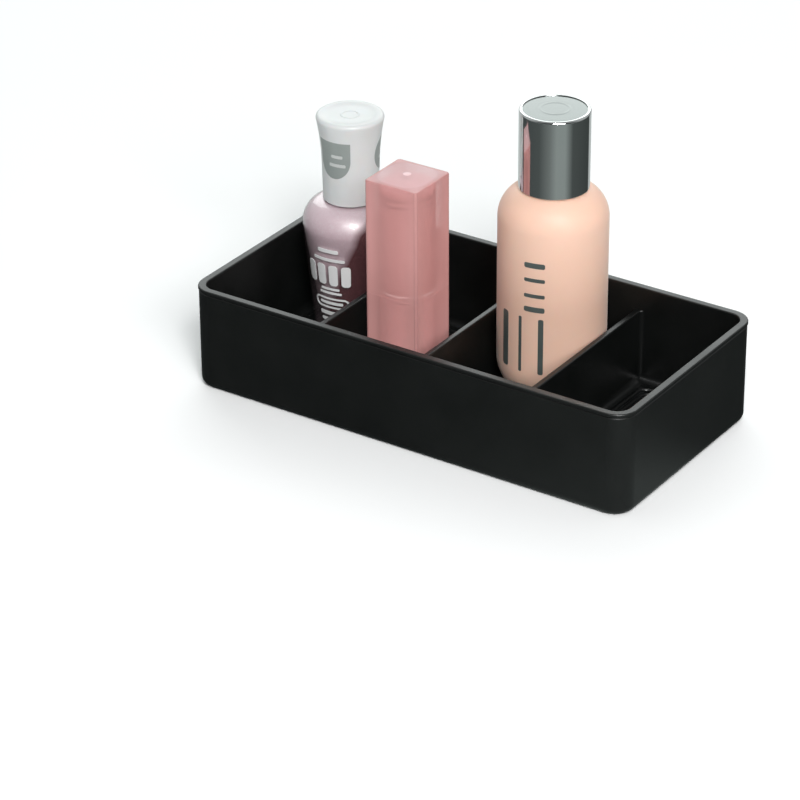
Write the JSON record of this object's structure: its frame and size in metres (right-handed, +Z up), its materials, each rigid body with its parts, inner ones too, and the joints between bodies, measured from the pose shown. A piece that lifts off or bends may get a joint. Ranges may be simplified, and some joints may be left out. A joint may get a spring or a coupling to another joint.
{
  "type": "stocked cosmetic organizer",
  "caption": "Rectangular divided tray holding a nail polish with a brush cap, a square twist-up lip balm and a round foundation bottle with a screw cap.",
  "frame": {"origin": "middle of the tray's underside", "axes": "+X along the tray's long side, +Y towards the back where the bottles stand, +Z up"},
  "size_m": [0.178, 0.089, 0.1104],
  "materials": {
    "tray_plastic": "matte black moulded",
    "polish_glass": "clear, polished",
    "polish_lacquer": "pink shimmer",
    "mixing_ball_steel": "polished",
    "liner_foam": "matte",
    "polish_cap_white": "satin white",
    "polish_inner_white": "plain moulded",
    "brush_bristle": "nylon bristle",
    "balm_shell_pink": "translucent pink, satin",
    "balm_mechanism_pink": "moulded pink",
    "balm_cup_metal": "satin",
    "balm_wax": "waxy rose",
    "foundation_soft_touch": "soft-touch peach",
    "foundation_fluid": "creamy",
    "foundation_chrome": "mirror",
    "foundation_disc_silver": "fine satin"
  },
  "bodies": {
    "tray": {"tray": "tray_plastic"},
    "polish_bottle": {"polish_bottle": "polish_glass", "polish_lacquer": "polish_lacquer", "polish_mixing_balls": "mixing_ball_steel"},
    "polish_seal": {"polish_liner": "liner_foam"},
    "polish_cap": {"polish_inner_cap": "polish_inner_white", "polish_outer_cap": "polish_cap_white", "polish_stem": "polish_inner_white", "polish_brush": "brush_bristle"},
    "balm_base": {"balm_base_shell": "balm_shell_pink", "balm_base_plug": "balm_mechanism_pink", "balm_spiral": "balm_mechanism_pink"},
    "balm_tube": {"balm_guide_tube": "balm_mechanism_pink", "balm_collar": "balm_mechanism_pink"},
    "balm_carrier": {"balm_cup": "balm_cup_metal", "balm_bullet": "balm_wax"},
    "balm_cap": {"balm_cap_shell": "balm_shell_pink", "balm_cap_sleeve": "balm_mechanism_pink"},
    "foundation_bottle": {"foundation_bottle": "foundation_soft_touch", "foundation_fluid": "foundation_fluid", "foundation_nozzle": "polish_inner_white"},
    "foundation_seal": {"foundation_liner": "liner_foam"},
    "foundation_cap": {"foundation_inner_cap": "polish_inner_white", "foundation_cap_shell": "foundation_chrome", "foundation_cap_disc": "foundation_disc_silver"}
  },
  "joints": [
    {"name": "polish_lift_out", "type": "slide", "parent": "tray", "child": "polish_bottle", "axis": [0, 0, 1], "range_m": [0, 0.045]},
    {"name": "polish_cap_lift", "type": "slide", "parent": "polish_bottle", "child": "polish_seal", "axis": [0, 0, 1], "range_m": [0, 0.06]},
    {"name": "polish_cap_turn", "type": "hinge", "parent": "polish_seal", "child": "polish_cap", "pos_m": [-0.06536, 0.0223, 0], "axis": [0, 0, 1], "range_deg": [0, 540]},
    {"name": "balm_lift_out", "type": "slide", "parent": "tray", "child": "balm_base", "axis": [0, 0, 1], "range_m": [0, 0.045]},
    {"name": "balm_twist", "type": "hinge", "parent": "balm_base", "child": "balm_tube", "pos_m": [-0.02179, -0.0065, 0], "axis": [0, 0, 1], "range_deg": [0, 540]},
    {"name": "balm_rise", "type": "slide", "parent": "balm_tube", "child": "balm_carrier", "axis": [0, 0, 1], "range_m": [0, 0.018]},
    {"name": "balm_cap_pull", "type": "slide", "parent": "balm_tube", "child": "balm_cap", "axis": [0, 0, 1], "range_m": [0, 0.045]},
    {"name": "foundation_lift_out", "type": "slide", "parent": "tray", "child": "foundation_bottle", "axis": [0, 0, 1], "range_m": [0, 0.045]},
    {"name": "foundation_cap_lift", "type": "slide", "parent": "foundation_bottle", "child": "foundation_seal", "axis": [0, 0, 1], "range_m": [0, 0.03]},
    {"name": "foundation_cap_turn", "type": "hinge", "parent": "foundation_seal", "child": "foundation_cap", "pos_m": [0.02179, 0.019, 0], "axis": [0, 0, 1], "range_deg": [0, 540]}
  ],
  "couplings": [
    {"joint": "balm_rise", "follows": "balm_twist", "m_per_rad": 0.0019099}
  ]
}
